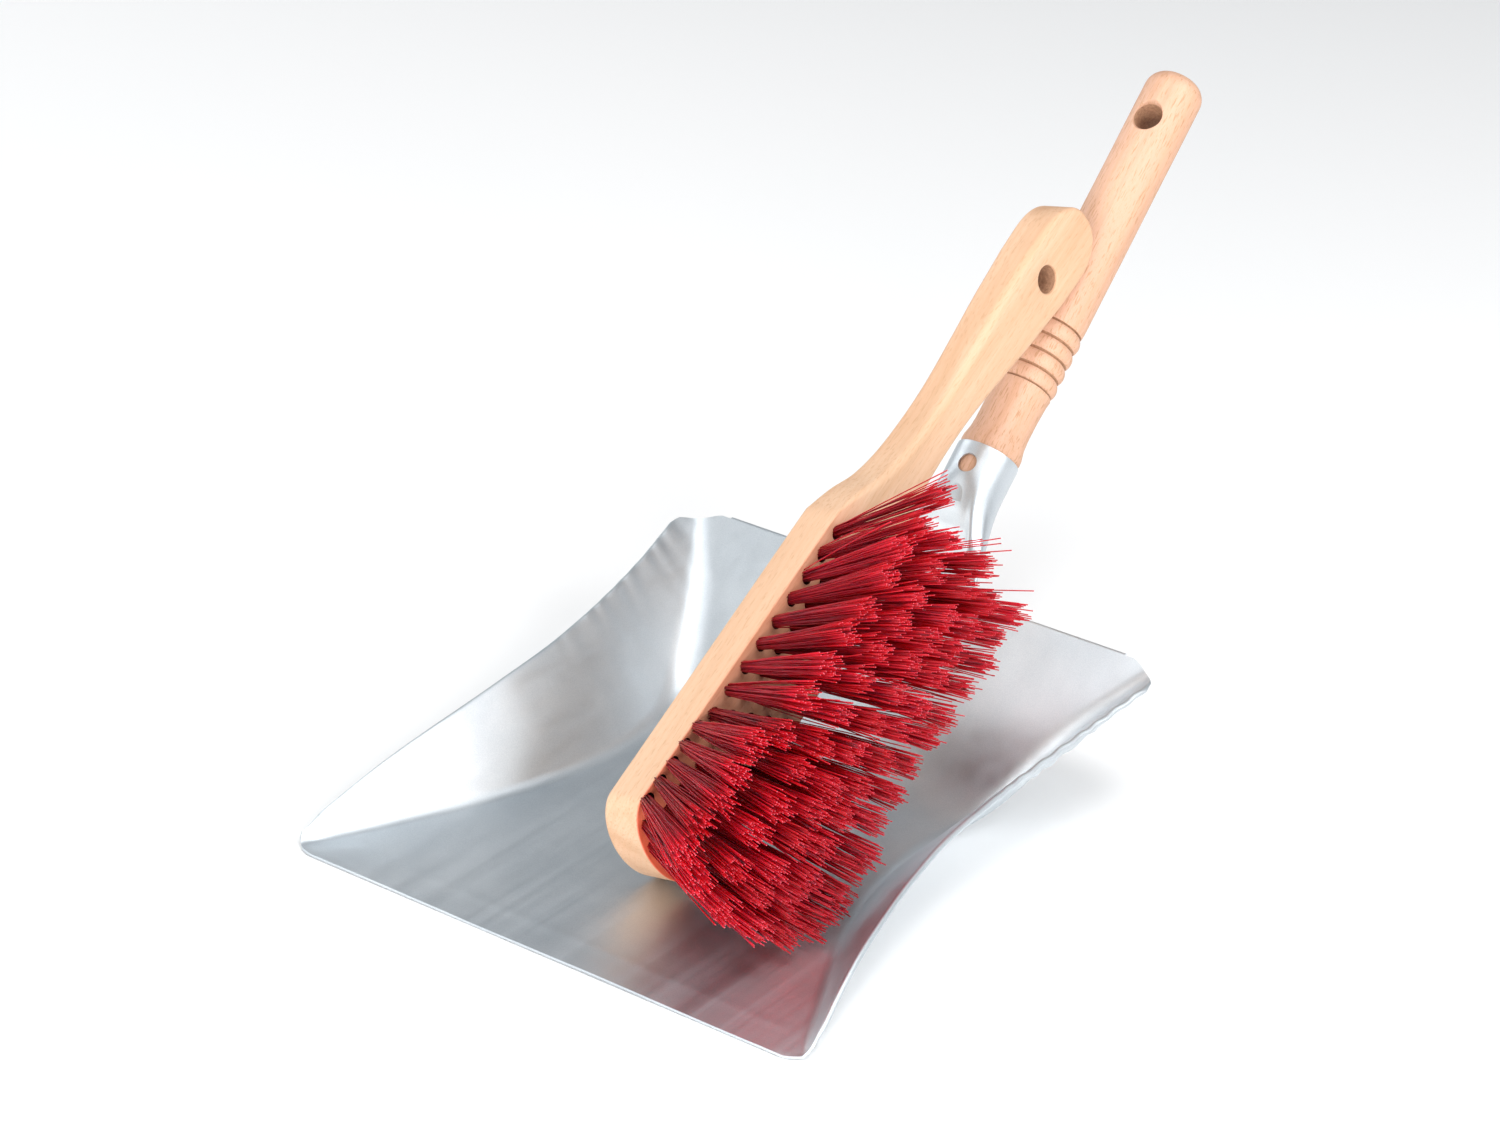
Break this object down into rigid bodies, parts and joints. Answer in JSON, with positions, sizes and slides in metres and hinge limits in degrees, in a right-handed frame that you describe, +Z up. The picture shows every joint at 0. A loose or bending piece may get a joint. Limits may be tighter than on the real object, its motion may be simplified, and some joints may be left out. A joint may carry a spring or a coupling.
{
  "type": "dust pan and brush set",
  "caption": "Sheet-metal dust pan with a turned wooden handle in a socket, and a wooden hand brush with red bristles lying in the pan.",
  "frame": {"origin": "bottom centre of the whole set: on the floor under the pan, half way across and half way from its front edge to the end of its handle", "axes": "+X across the pan, to the right as seen from its front edge; +Y back from the front edge towards the handle; +Z up"},
  "size_m": [0.2378, 0.4382, 0.2317],
  "materials": {
    "galvanised_sheet": "satin galvanised",
    "rivet_steel": "zinc plated",
    "beech": "bare, sanded",
    "red_bristle": "satin filament"
  },
  "bodies": {
    "pan": {"pan_sheet": "galvanised_sheet", "handle_socket": "galvanised_sheet", "socket_rivets": "rivet_steel", "pan_handle": "beech", "handle_screw": "rivet_steel"},
    "brush": {"brush_block": "beech", "tuft_anchors": "rivet_steel", "tufts_near_row": "red_bristle", "tufts_near_inner_row": "red_bristle", "tufts_middle_row": "red_bristle", "tufts_far_inner_row": "red_bristle", "tufts_far_row": "red_bristle", "tufts_toe_ring": "red_bristle"}
  },
  "joints": [
    {"name": "brush_lift", "type": "slide", "parent": "pan", "child": "brush", "axis": [0, 0, 1], "range_m": [0, 0.3]}
  ]
}
